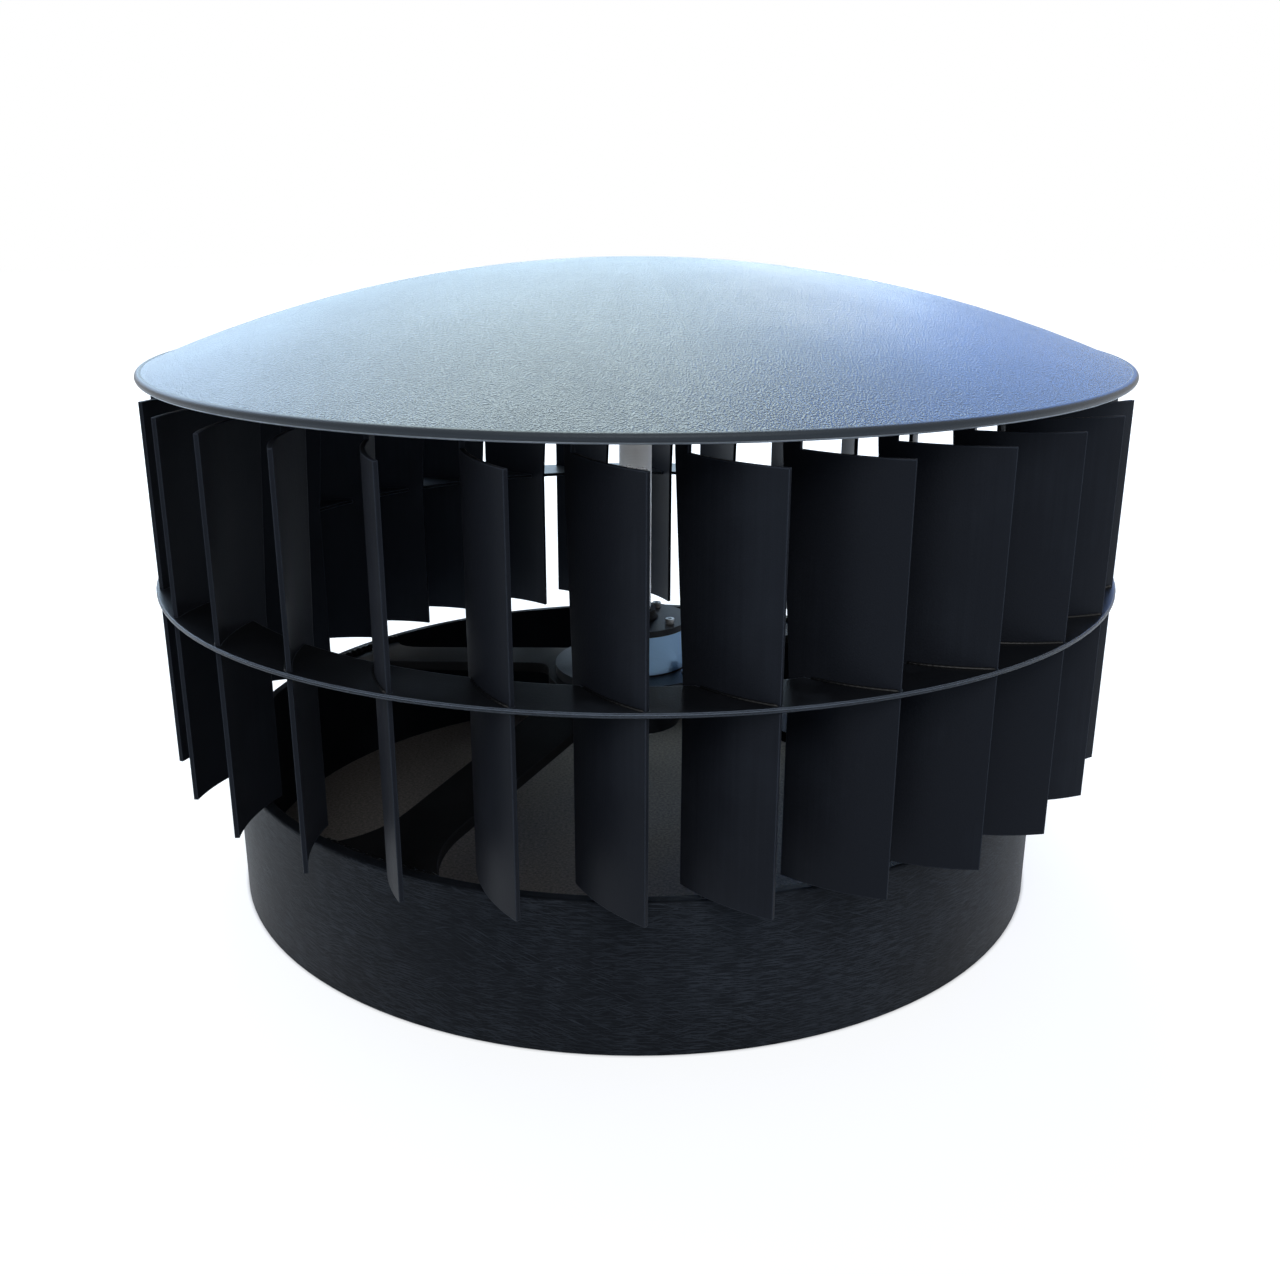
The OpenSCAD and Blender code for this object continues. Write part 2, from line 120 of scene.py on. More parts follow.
def add_node(tree, kind, sockets=None, **settings):
    """Adds a shader node, sets its properties and fills its inputs; a socket as value becomes
    a wire."""
    made = tree.nodes.new("ShaderNode" + kind)
    for key, value in settings.items():
        setattr(made, key, value)
    for key, value in (sockets or {}).items():
        if isinstance(value, bpy.types.NodeSocket):
            tree.links.new(value, made.inputs[key])
        else:
            made.inputs[key].default_value = value
    return made


def math_node(tree, operation, a, b=0.0, clamp=False):
    """One arithmetic step; gives its output socket. With clamp it stays between 0 and 1."""
    step = add_node(tree, "Math", {0: a, 1: b}, operation=operation, use_clamp=clamp)
    return step.outputs[0]


def plus(tree, a, b, clamp=False):
    """a + b"""
    return math_node(tree, "ADD", a, b, clamp)


def minus(tree, a, b):
    """a - b"""
    return math_node(tree, "SUBTRACT", a, b)


def times(tree, a, b, clamp=False):
    """a x b"""
    return math_node(tree, "MULTIPLY", a, b, clamp)


def remap(tree, value, low, high, out_low=0.0, out_high=1.0):
    """Smooth step: out_low below low, out_high above high, and a soft S between them."""
    sockets = {"Value": value, "From Min": low, "From Max": high, "To Min": out_low,
               "To Max": out_high}
    return add_node(tree, "MapRange", sockets, interpolation_type="SMOOTHSTEP").outputs[0]


print("node helpers ready")

# %% Places, noise and colours
def place_of(tree):
    """The point of the surface, in the space of its object."""
    return add_node(tree, "TexCoord").outputs["Object"]


def split(tree, vector):
    """x, y and z of a vector as three sockets."""
    parts = add_node(tree, "SeparateXYZ", {0: vector}).outputs
    return parts["X"], parts["Y"], parts["Z"]


def off_axis(tree, x, y):
    """sqrt(x x + y y), the distance from the upright axis."""
    return math_node(tree, "SQRT", plus(tree, times(tree, x, x), times(tree, y, y)))


def noise_at(tree, where, scale, detail, roughness=0.5, dimensions="3D"):
    """Cloudy noise between 0 and 1 with scale cells a metre."""
    sockets = {"Vector": where, "Scale": scale, "Detail": detail, "Roughness": roughness}
    return add_node(tree, "TexNoise", sockets, noise_dimensions=dimensions).outputs[0]


def blend(tree, factor, first, second):
    """Colour from first (factor 0) to second (factor 1); each is (r, g, b) or a socket."""
    ends = [end if isinstance(end, bpy.types.NodeSocket) else (*end, 1.0)
            for end in (first, second)]
    mix = add_node(tree, "Mix", {"Factor": factor, "A": ends[0], "B": ends[1]},
                   data_type="RGBA")
    return mix.outputs["Result"]


print("pattern helpers ready")

# %% [markdown]
# ## Groups and materials
# A pattern that many materials share is built once, as a node group with
# named inputs. Each material then uses it with its own values. Every material
# starts from the same Principled shader and gets its relief from a bump.

# %% Groups and materials
def new_group(name, inputs, outputs):
    """Starts a shader node group. inputs are {name: default}; outputs are {name: socket kind}."""
    tree = bpy.data.node_groups.new(name, "ShaderNodeTree")
    for label, value in inputs.items():
        made = tree.interface.new_socket(name=label, in_out="INPUT",
                                         socket_type="NodeSocketFloat")
        made.default_value = value
    for label, kind in outputs.items():
        tree.interface.new_socket(name=label, in_out="OUTPUT", socket_type="NodeSocket" + kind)
    return tree, tree.nodes.new("NodeGroupInput"), tree.nodes.new("NodeGroupOutput")


def use_group(tree, group, **values):
    """Places a node group in a material with its own values; gives its outputs."""
    made = tree.nodes.new("ShaderNodeGroup")
    made.node_tree = group
    fill(made, **values)
    return made.outputs


def new_material(name):
    """A new material, its graph and its Principled shader."""
    made = bpy.data.materials.new(name)
    made.use_nodes = True
    return made, made.node_tree, made.node_tree.nodes["Principled BSDF"]


def add_relief(tree, shader, strength, depth, height, normal=None):
    """Bump from a height pattern, over the true normal or over the one given."""
    sockets = {"Strength": strength, "Distance": depth, "Height": height}
    if normal is not None:
        sockets["Normal"] = normal
    tree.links.new(add_node(tree, "Bump", sockets).outputs[0], shader.inputs["Normal"])


print("group and material helpers ready")

# %% [markdown]
# ## Grain, streaks, scratches and dust
# Pressed plastic sheet isn't smooth. It has a fine leathery grain, faint
# streaks along the way it was drawn, short scratches from handling and dust
# where it lies flat. Each of these is a pattern of noise in the space of the
# object, so it stays with the piece and shows the same from every side.

# %% Leathery grain
CELL_ROUNDING = 0.6
LUMPS = 0.6
SPECKS = 0.4
CLOUDS_A_METRE = 9.0


def build_grain(name, feature):
    """Height = LUMPS x cell distance + SPECKS x fine noise, both with the given number of cells
    a metre. Cloud is a broad noise. The feature SMOOTH_F1 rounds the cells, which takes much
    longer to render than F1."""
    tree, given, result = new_group(name, {"Cells": 700.0}, {"Height": "Float", "Cloud": "Float"})
    where = place_of(tree)
    cells = add_node(tree, "TexVoronoi", {"Vector": where, "Scale": given.outputs["Cells"]},
                     feature=feature)
    if feature == "SMOOTH_F1":
        fill(cells, Smoothness=CELL_ROUNDING)
    fine = noise_at(tree, where, given.outputs["Cells"], 3.0, 0.6)
    cloud = noise_at(tree, where, CLOUDS_A_METRE, 4.0, 0.55)
    lumps = times(tree, cells.outputs["Distance"], LUMPS)
    tree.links.new(plus(tree, lumps, times(tree, fine, SPECKS)), result.inputs["Height"])
    tree.links.new(cloud, result.inputs["Cloud"])
    return tree


SOFT_GRAIN = build_grain("leathery_grain", "SMOOTH_F1")
GRAIN = build_grain("sheet_grain", "F1")
print("groups:", SOFT_GRAIN.name, GRAIN.name)

# %% Streaks along the height of a sheet
STREAKS_A_METRE = 260.0
STREAK_SQUEEZE = 0.025


def build_streaks():
    """Streak = noise whose height counts STREAK_SQUEEZE times, which draws it out into lines 40
    times as long as wide."""
    tree, given, result = new_group("drawn_streaks", {"Lines": STREAKS_A_METRE},
                                    {"Streak": "Float"})
    squeezed = add_node(tree, "Mapping", {"Vector": place_of(tree),
                                          "Scale": (1.0, 1.0, STREAK_SQUEEZE)})
    streak = noise_at(tree, squeezed.outputs[0], given.outputs["Lines"], 4.0, 0.65)
    tree.links.new(streak, result.inputs["Streak"])
    return tree


STREAKS = build_streaks()
print("group:", STREAKS.name)

# %% Fine scratches on a round wall
# slant in radians, length, width, and the level from which the noise shows
SCRATCH_LAYERS = [(0.03, 0.0150, 0.0007, 0.48),
                  (0.42, 0.0200, 0.0008, 0.57),
                  (-0.26, 0.0170, 0.0008, 0.59)]
LAYER_SHIFT = (7.3, 3.1)
CREST = 0.14
PATCHES_A_METRE = (14.0, 5.0)
PATCH_STRENGTH = (0.20, 0.75, 0.25, 1.0)
SKIN_DEPTH = (-0.0012, -0.0004)


def build_scratches():
    """Unrolls the wall to (angle x radius, height). Each layer turns it, squeezes noise to short
    hair lines and keeps their crests, more of them where a patchy noise is high. Nothing shows
    deeper than SKIN_DEPTH inside the radius."""
    tree, given, result = new_group("handling_scratches", {"Radius": NECK_R, "Amount": 1.0},
                                    {"Scratch": "Float"})
    x, y, z = split(tree, place_of(tree))
    along = times(tree, math_node(tree, "ARCTAN2", y, x), given.outputs["Radius"])
    rolled = add_node(tree, "CombineXYZ", {"X": along, "Y": z})
    total = None
    for step, (slant, length, width, level) in enumerate(SCRATCH_LAYERS):
        turned = add_node(tree, "VectorRotate", {"Vector": rolled.outputs[0], "Angle": slant},
                          rotation_type="Z_AXIS").outputs[0]
        hairs = add_node(tree, "Mapping", {
            "Vector": turned, "Location": (step * LAYER_SHIFT[0], step * LAYER_SHIFT[1], 0.0),
            "Scale": (1.0 / length, 1.0 / width, 1.0)}).outputs[0]
        fine = noise_at(tree, hairs, 1.0, 2.0, dimensions="2D")
        patches = PATCHES_A_METRE[0] + PATCHES_A_METRE[1] * step
        patch = noise_at(tree, turned, patches, 3.0, dimensions="2D")
        crest = remap(tree, fine, level, level + CREST)
        crest = times(tree, crest, remap(tree, patch, *PATCH_STRENGTH))
        total = crest if total is None else math_node(tree, "MAXIMUM", total, crest)
    flat = add_node(tree, "CombineXYZ", {"X": x, "Y": y}).outputs[0]
    out = add_node(tree, "VectorMath", {0: flat}, operation="LENGTH").outputs["Value"]
    total = times(tree, total, remap(tree, minus(tree, out, given.outputs["Radius"]), *SKIN_DEPTH))
    total = times(tree, total, given.outputs["Amount"], clamp=True)
    tree.links.new(total, result.inputs["Scratch"])
    return tree


FINE_SCRATCHES = build_scratches()
print("group:", FINE_SCRATCHES.name)

# %% Dust on what faces up
DUST_FROM_TO = (0.35, 0.95)
DUST_A_METRE = 38.0
DUST_PATCHES = (0.35, 0.72)


def build_dust():
    """Dust = smooth step of the upward part of the normal x a patchy noise x the given amount."""
    tree, given, result = new_group("settled_dust", {"Amount": 0.5}, {"Dust": "Float"})
    facing = split(tree, add_node(tree, "NewGeometry").outputs["Normal"])[2]
    up = remap(tree, facing, *DUST_FROM_TO)
    thick = remap(tree, noise_at(tree, place_of(tree), DUST_A_METRE, 8.0, 0.7), *DUST_PATCHES)
    dust = times(tree, times(tree, up, thick), given.outputs["Amount"], clamp=True)
    tree.links.new(dust, result.inputs["Dust"])
    return tree


DUST = build_dust()
print("group:", DUST.name)

# %% Rubbed edges and painted edge highlights
EDGE_WIDTH = 0.0012
EDGE_FROM_TO = (0.995, 0.90)


def build_edge_wear_and_painted_highlight():
    """Edge = how far the normal of a softly rounded copy of the surface turns from the true
    normal, read from their dot product. The finishes lift it to rubbed wear and to a painted
    highlight along edges. Normal is the rounded one."""
    tree, given, result = new_group("rubbed_edges_and_painted_highlight", {"Width": EDGE_WIDTH},
                                    {"Edge": "Float", "Normal": "Vector"})
    soft = add_node(tree, "Bevel", {"Radius": given.outputs["Width"]}, samples=4).outputs[0]
    true_normal = add_node(tree, "NewGeometry").outputs["Normal"]
    alike = add_node(tree, "VectorMath", {0: soft, 1: true_normal},
                     operation="DOT_PRODUCT").outputs["Value"]
    tree.links.new(remap(tree, alike, *EDGE_FROM_TO), result.inputs["Edge"])
    tree.links.new(soft, result.inputs["Normal"])
    return tree


EDGE_WEAR_AND_PAINTED_HIGHLIGHT = build_edge_wear_and_painted_highlight()
print("group:", EDGE_WEAR_AND_PAINTED_HIGHLIGHT.name)

# %% [markdown]
# ## Black plastic sheet
# Neck, vanes, ring and plate are cut from the same satin black sheet, but
# each was worked in its own way: the neck is rolled and scuffed, the vanes
# are drawn, the ring has freshly cut edges. The paler colour along the edges
# of neck, vanes and ring is partly a painted highlight. One function builds
# them all from the groups, and the values make the difference.

# %% How a plastic finish is built
DUST_GREY = (0.075, 0.074, 0.075)
DUST_ROUGHNESS = 0.4
CLOUD_TONE = 0.5
SHEET_RELIEF = 0.0004


def plastic(name, base, wear_and_painted_highlight, rough, spread, grain=700.0, bump=0.25, streaks=0.0,
            scratches=0.0, dust=0.3, edges=0.0, specular=0.5, tint=(1.0, 1.0, 1.0)):
    """Satin sheet. The colour goes from base to wear_and_painted_highlight with clouds, streaks,
    scratches and edges, and to grey with dust; along edges it is partly rubbed wear and partly a
    painted highlight. The roughness is rough and wanders by spread."""
    made, tree, shader = new_material(name)
    grains = use_group(tree, GRAIN, Cells=grain)
    drawn = use_group(tree, STREAKS, Lines=STREAKS_A_METRE)["Streak"]
    lying = use_group(tree, DUST, Amount=dust)["Dust"]
    wander = minus(tree, grains["Cloud"], 0.5)
    streak = times(tree, minus(tree, drawn, 0.5), streaks)
    lift = plus(tree, times(tree, wander, CLOUD_TONE), streak)
    height = plus(tree, grains["Height"], times(tree, drawn, streaks))
    if scratches:
        marks = use_group(tree, FINE_SCRATCHES, Radius=NECK_R, Amount=scratches)["Scratch"]
        lift = plus(tree, lift, marks)
        height = minus(tree, height, marks)
    soft_normal = None
    # Along edges the paler colour is partly rubbed wear and partly a painted highlight.
    if edges:
        edge_wear_and_painted_light = use_group(tree, EDGE_WEAR_AND_PAINTED_HIGHLIGHT, Width=EDGE_WIDTH)
        lift = plus(tree, lift, times(tree, edge_wear_and_painted_light["Edge"], edges))
        soft_normal = edge_wear_and_painted_light["Normal"]
    lift = math_node(tree, "MAXIMUM", lift, 0.0, clamp=True)
    colour = blend(tree, lying, blend(tree, lift, base, wear_and_painted_highlight), DUST_GREY)
    tree.links.new(colour, shader.inputs["Base Color"])
    uneven = plus(tree, times(tree, wander, spread), rough)
    uneven = plus(tree, uneven, times(tree, lying, DUST_ROUGHNESS), clamp=True)
    tree.links.new(uneven, shader.inputs["Roughness"])
    add_relief(tree, shader, bump, SHEET_RELIEF, height, soft_normal)
    # A blue specular tint paints the sky's colour into every reflection.
    fill(shader, Specular_IOR_Level=specular, Specular_Tint=(*tint, 1.0))
    return made


print("plastic ready")

# %% Plastic finishes
# Blue specular tints: the sky's blue painted into the reflections of the plastics.
PAINTED_SKY_TINT = (0.78, 0.88, 1.0)
STRONGER_PAINTED_SKY_TINT = (0.70, 0.84, 1.0)
# edges lifts the neck's lip, the vanes' edges and the ring's cut edges to the paler colour: partly
# wear, partly a painted highlight.
NECK_BLACK = plastic(
    "rolled_sheet_black", base=(0.0090, 0.0104, 0.0132), wear_and_painted_highlight=(0.072, 0.082, 0.098),
    rough=0.50, spread=0.22, grain=900.0, bump=0.30, streaks=0.12, scratches=0.55,
    dust=0.04, edges=0.45, specular=0.07, tint=PAINTED_SKY_TINT)
VANE_BLACK = plastic(
    "drawn_sheet_black", base=(0.0180, 0.0196, 0.0248), wear_and_painted_highlight=(0.090, 0.104, 0.130),
    rough=0.44, spread=0.24, grain=800.0, bump=0.20, streaks=0.12, dust=0.03,
    edges=0.75, specular=0.07, tint=STRONGER_PAINTED_SKY_TINT)
# The ring's pale blue edge colour is mostly a painted highlight along its cut edges.
RING_BLACK = plastic(
    "cut_sheet_black", base=(0.0060, 0.0064, 0.0076), wear_and_painted_highlight=(0.26, 0.30, 0.36),
    rough=0.36, spread=0.14, grain=800.0, bump=0.18, dust=0.04, edges=0.95,
    specular=0.18, tint=PAINTED_SKY_TINT)
PLATE_BLACK = plastic(
    "plate_black", base=(0.0070, 0.0072, 0.0080), wear_and_painted_highlight=(0.04, 0.04, 0.045),
    rough=0.46, spread=0.15, bump=0.2, dust=0.1, edges=0.3, specular=0.2)
SPIDER_BLACK = plastic(
    "dished_sheet_black", base=(0.0075, 0.0077, 0.0083), wear_and_painted_highlight=(0.040, 0.041, 0.045),
    rough=0.52, spread=0.2, bump=0.25, dust=0.03, edges=0.5, specular=0.08)
WELD_BLACK = plastic(
    "weld_black", base=(0.0050, 0.0053, 0.0060), wear_and_painted_highlight=(0.04, 0.04, 0.045),
    rough=0.34, spread=0.15, grain=500.0, bump=0.3, dust=0.0, specular=0.25)
print("plastics:", [m.name for m in bpy.data.materials if m.name.endswith("black")])

# %% [markdown]
# ## The cap's skin
# The cap is thermoformed, which leaves a finer, drier grain than the sheet
# has. It catches the sky as a broad blue-grey sheen, with smudges and faint
# brush marks that run down from the crown. Blue specular and sheen tints paint
# part of the sky's blue into that sheen. The marks are noise in polar
# coordinates round the axis.

# %% Brush marks from the crown
MARKS_ROUND = 60.0
MARKS_ALONG = 6.0
AXIS_GUARD = 0.001


def build_brush_marks():
    """Mark = noise at (Count cos a, Count sin a, MARKS_ALONG r), with a the angle round the axis
    and r the distance from it: long lines that run out from the crown."""
    tree, given, result = new_group("crown_brush_marks", {"Count": MARKS_ROUND},
                                    {"Mark": "Float"})
    x, y, _ = split(tree, place_of(tree))
    out = off_axis(tree, x, y)
    away = math_node(tree, "MAXIMUM", out, AXIS_GUARD)
    count = given.outputs["Count"]
    place = add_node(tree, "CombineXYZ", {
        "X": times(tree, math_node(tree, "DIVIDE", x, away), count),
        "Y": times(tree, math_node(tree, "DIVIDE", y, away), count),
        "Z": times(tree, out, MARKS_ALONG)})
    tree.links.new(noise_at(tree, place.outputs[0], 0.5, 5.0, 0.6), result.inputs["Mark"])
    return tree


BRUSH_MARKS = build_brush_marks()
print("group:", BRUSH_MARKS.name)

# %% Cap finish
CAP_DARK = (0.015, 0.019, 0.026)
CAP_PALE = (0.045, 0.055, 0.070)
CAP_TONE = 0.35
CAP_ROUGHNESS = 0.34
CAP_RELIEF = (0.9, 0.0009)
SMUDGE_TONE, BRUSH_TONE = 0.7, 0.3
SMUDGE_ROUGHNESS, BRUSH_ROUGHNESS = 0.22, 0.08


def cap_skin():
    """Dry grained black with a cool sheen; smudges and brush marks change its roughness and
    tone."""
    made, tree, shader = new_material("cap_skin")
    grains = use_group(tree, SOFT_GRAIN, Cells=880.0)
    marks = use_group(tree, BRUSH_MARKS, Count=MARKS_ROUND)["Mark"]
    wander = minus(tree, grains["Cloud"], 0.5)
    brushed = minus(tree, marks, 0.5)
    tone = plus(tree, times(tree, wander, SMUDGE_TONE), times(tree, brushed, BRUSH_TONE))
    tone = plus(tree, tone, CAP_TONE, clamp=True)
    tree.links.new(blend(tree, tone, CAP_DARK, CAP_PALE), shader.inputs["Base Color"])
    uneven = plus(tree, times(tree, wander, SMUDGE_ROUGHNESS), CAP_ROUGHNESS)
    uneven = plus(tree, uneven, times(tree, brushed, BRUSH_ROUGHNESS), clamp=True)
    tree.links.new(uneven, shader.inputs["Roughness"])
    add_relief(tree, shader, *CAP_RELIEF, grains["Height"])
    # The blue specular and sheen tints paint the sky's colour into the cap's sheen.
    fill(shader, Specular_IOR_Level=0.85, Specular_Tint=(0.84, 0.93, 1.0, 1.0),
         Sheen_Weight=0.25, Sheen_Tint=(0.60, 0.78, 1.0, 1.0), Sheen_Roughness=0.35)
    return made


CAP_SKIN = cap_skin()
print("cap finish:", CAP_SKIN.name)

# %% Finish of the cap's rim
RIM_DARK = (0.012, 0.016, 0.022)
RIM_PAINTED_HIGHLIGHT = (0.72, 0.78, 0.84)
RIM_SHINE = 0.30
RIM_RELIEF = (0.5, 0.0003)
LINE_TOP_TO_FULL = (0.0016, 0.0009)
LINE_BREAKS = (0.30, 0.62, 0.45, 1.0)


def rim_skin():
    """Darker than the cap, where the sheet was bent hot; pale and a little shiny in a thin line
    at the foot of the bead, LINE_TOP_TO_FULL above the cap's foot: a painted highlight drawn as
    a rubbed line."""
    made, tree, shader = new_material("cap_rim_skin")
    grains = use_group(tree, SOFT_GRAIN, Cells=1050.0)
    above = minus(tree, split(tree, place_of(tree))[2], CAP_Z)
    broken = remap(tree, grains["Cloud"], *LINE_BREAKS)
    # The pale, slightly metallic thin line at the foot of the bead is a painted highlight.
    wear_and_painted_highlight = times(tree, remap(tree, above, *LINE_TOP_TO_FULL), broken)
    tree.links.new(blend(tree, wear_and_painted_highlight, RIM_DARK, RIM_PAINTED_HIGHLIGHT), shader.inputs["Base Color"])
    tree.links.new(times(tree, wear_and_painted_highlight, RIM_SHINE), shader.inputs["Metallic"])
    add_relief(tree, shader, *RIM_RELIEF, grains["Height"])
    # The blue specular tint paints the sky's colour into the rim's reflections.
    fill(shader, Roughness=0.42, Specular_IOR_Level=0.40, Specular_Tint=(0.80, 0.91, 1.0, 1.0))
    return made


RIM_SKIN = rim_skin()
print("rim finish:", RIM_SKIN.name)

# %% [markdown]
# ## Metal and rubber inside
# The housing is a turned casting, the shaft and bolts are steel. Turning
# leaves fine rings round the axis: a wave over the height and the distance
# from the axis draws them. The seal is plain matt rubber.

# %% How a metal finish is built
RING_WAVE = 5600.0
WALL_EDGE = 0.0004
TARNISH_FROM_TO = (0.42, 0.68)
TARNISH_ROUGHNESS = 0.18
METAL_GRAIN = 0.3
METAL_RELIEF = (0.25, 0.0003)


def metal(name, colour, tarnish, rough, rings=0.0, wall=None):
    """Metal with patchy tarnish and turning marks of height rings x sin(RING_WAVE (radius +
    height)). What lies above and outside wall = (height, radius, colour) takes that colour: a
    turned face, brighter as machined metal is, with a painted blue-white reflection of the sky."""
    made, tree, shader = new_material(name)
    grains = use_group(tree, GRAIN, Cells=500.0)
    patch = remap(tree, grains["Cloud"], *TARNISH_FROM_TO)
    x, y, z = split(tree, place_of(tree))
    out = off_axis(tree, x, y)
    tone = blend(tree, patch, colour, tarnish)
    if wall:
        low, inner, bright = wall
        turned = times(tree, remap(tree, z, low, low + WALL_EDGE),
                       remap(tree, out, inner, inner + WALL_EDGE))
        tone = blend(tree, turned, tone, bright)
    tree.links.new(tone, shader.inputs["Base Color"])
    uneven = plus(tree, times(tree, patch, TARNISH_ROUGHNESS), rough, clamp=True)
    tree.links.new(uneven, shader.inputs["Roughness"])
    wave = math_node(tree, "SINE", times(tree, plus(tree, out, z), RING_WAVE))
    height = plus(tree, times(tree, grains["Height"], METAL_GRAIN), times(tree, wave, rings))
    add_relief(tree, shader, *METAL_RELIEF, height)
    fill(shader, Metallic=1.0)
    return made


print("metal ready")

# %% Metal finishes and the seal
ALLOY = (0.045, 0.049, 0.056)
ALLOY_TARNISH = (0.026, 0.028, 0.032)
# The turned face's blue-white colour is a painted reflection of the sky on bright machined metal.
ALLOY_TURNED_AND_PAINTED_SKY = (0.42, 0.68, 1.0)
TURNED_FROM = 0.155
TURNED_R = 0.0413
CAST_DARK = metal("cast_alloy", ALLOY, ALLOY_TARNISH, 0.46, rings=0.3)
CAST_ALLOY = metal("turned_alloy", ALLOY, ALLOY_TARNISH, 0.34, rings=0.5,
                   wall=(TURNED_FROM, TURNED_R, ALLOY_TURNED_AND_PAINTED_SKY))
BRIGHT_STEEL = metal("bright_steel", (0.55, 0.56, 0.57), (0.40, 0.39, 0.38), 0.26, rings=0.4)
ZINC_STEEL = metal("zinc_plated_steel", (0.56, 0.57, 0.58), (0.42, 0.40, 0.36), 0.36)
BEARING_STEEL = metal("ground_steel", (0.62, 0.62, 0.63), (0.52, 0.52, 0.52), 0.15)
SPRING_STEEL = metal("blackened_steel", (0.10, 0.10, 0.11), (0.06, 0.05, 0.05), 0.42)
SEAL_RUBBER = plastic("seal_rubber", base=(0.010, 0.010, 0.010), wear_and_painted_highlight=(0.03, 0.03, 0.03),
                      rough=0.72, spread=0.1, grain=1500.0, bump=0.3, dust=0.4)
print("metals and seal ready")

# %% Give every solid its finish
FINISH = {"neck": NECK_BLACK, "support_spider": SPIDER_BLACK, "closing_plate": PLATE_BLACK,
          "mid_ring": RING_BLACK, "cap_dome": CAP_SKIN, "bearing_housing": CAST_ALLOY,
          "housing_cover": CAST_DARK, "shaft": BRIGHT_STEEL, "spacer_sleeve": BRIGHT_STEEL,
          "hub_flange": ZINC_STEEL, "retaining_ring": SPRING_STEEL, "shaft_seal": SEAL_RUBBER}
for node_name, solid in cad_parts.items():
    if node_name in FINISH:
        finish = FINISH[node_name]
    elif node_name.startswith("vane_"):
        finish = VANE_BLACK
    elif "_ring" in node_name or "ball" in node_name:
        finish = BEARING_STEEL
    else:
        finish = ZINC_STEEL
    solid.data.materials.clear()
    solid.data.materials.append(finish)
print("finished solids:", len(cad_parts))

# %% [markdown]
# ## Surfaces from grids of points
# A formula gives a grid of points, and each point is joined with its
# neighbours. One way round, the grid always closes, as a tube does. The other
# way it either closes too, which makes a ring, or gets a cap at both ends.

# %% Skin over grids
def skin(name, grids, finish, body, loop=False):
    """Joins each (n, m) grid of points with its neighbours, the last of m to the first. With
    loop the last of n joins the first too; without it both ends get a cap."""
    copies, n, m = grids.shape[:3]
    index = np.arange(copies * n * m).reshape(copies, n, m)
    rows = np.concatenate([index, index[:, :1]], 1) if loop else index
    ring = np.roll(rows, -1, axis=2)
    quads = np.stack([rows[:, :-1], rows[:, 1:], ring[:, 1:], ring[:, :-1]], -1)
    faces = quads.reshape(-1, 4).tolist()
    if not loop:
        faces += index[:, 0, :].tolist() + index[:, -1, ::-1].tolist()
    mesh = bpy.data.meshes.new(name)
    mesh.from_pydata(grids.reshape(-1, 3), [], faces)
    work = bmesh.new()
    work.from_mesh(mesh)
    bmesh.ops.remove_doubles(work, verts=work.verts, dist=1e-7)
    bmesh.ops.recalc_face_normals(work, faces=work.faces)
    work.to_mesh(mesh)
    work.free()
    mesh.shade_smooth()
    piece = bpy.data.objects.new(name, mesh)
    bpy.context.scene.collection.objects.link(piece)
    mesh.materials.append(finish)
    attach(piece, body)
    print(name, len(mesh.polygons), "faces")


print("skin helper ready")

# %% [markdown]
# ## The cap's rim
# The rim is a round bead. A thin bright line on its lower outside is a painted
# highlight. Light runs along the bead, so every flat of a coarse mesh would show as a
# tooth. A ring swept from two circles, finer than the imported mesh and four
# hundredths of a millimetre above it, carries the finish instead.

# %% Fine skin over the cap's rim
RIM_R = 0.0031
RIM_CENTRE = 0.3533
RIM_SKIN_T = 0.00004
RIM_POINTS = (720, 32)


def rim_ring(around, across):
    """P(a, b) = the circle of radius RIM_CENTRE at angle a, plus (RIM_R + RIM_SKIN_T) (cos b
    outward + sin b up)."""
    a = np.linspace(0.0, FULL_TURN, around, endpoint=False)[:, None]
    b = np.linspace(0.0, FULL_TURN, across, endpoint=False)[None, :]
    out = RIM_CENTRE + (RIM_R + RIM_SKIN_T) * np.cos(b)
    high = CAP_Z + RIM_R + (RIM_R + RIM_SKIN_T) * np.sin(b) + 0.0 * a
    return np.stack([out * np.cos(a), out * np.sin(a), high], -1)[None]


skin("cap_rim", rim_ring(*RIM_POINTS), RIM_SKIN, "rotor", loop=True)

# %% [markdown]
# ## Welds
# Plastic sheets are joined by a melted bead in the corner. A bead is a path
# along the corner with a quarter-round section: from each point of the path
# the surface swings from one wall to the other. The path comes from the same
# arcs that shape the vanes, so every bead lies exactly in its corner.

# %% Path of a vane, seen from above
VANES = 30
VANE_T = 0.003
CURVE_R = 0.130
SWEEP = math.radians(7.7)
PHASE = math.radians(6.8)
TIP_INSET = 0.0005
ROOT_INSET = 0.012
TIP_R = CAP_R - TIP_INSET
ROOT_R = NECK_R - ROOT_INSET
root = np.array([ROOT_R * math.cos(-SWEEP), ROOT_R * math.sin(-SWEEP)])
chord = np.array([TIP_R, 0.0]) - root
chord_len = float(np.hypot(*chord))
chord_turn = math.atan2(chord[1], chord[0])
half = math.asin(chord_len / 2 / CURVE_R)


def vane_path(first, last, count, off=0.0):
    """P(a) = centre + (CURVE_R + off) (cos a, sin a): the arc of a vane's sheet from x = first
    to x = last along its chord, moved sideways by off."""
    centre = np.array([chord_len / 2, CURVE_R * math.cos(half)])
    ends = [-math.pi / 2 + math.asin((x - chord_len / 2) / CURVE_R) for x in (first, last)]
    a = np.linspace(*ends, count)
    return centre + (CURVE_R + off) * np.stack([np.cos(a), np.sin(a)], -1)


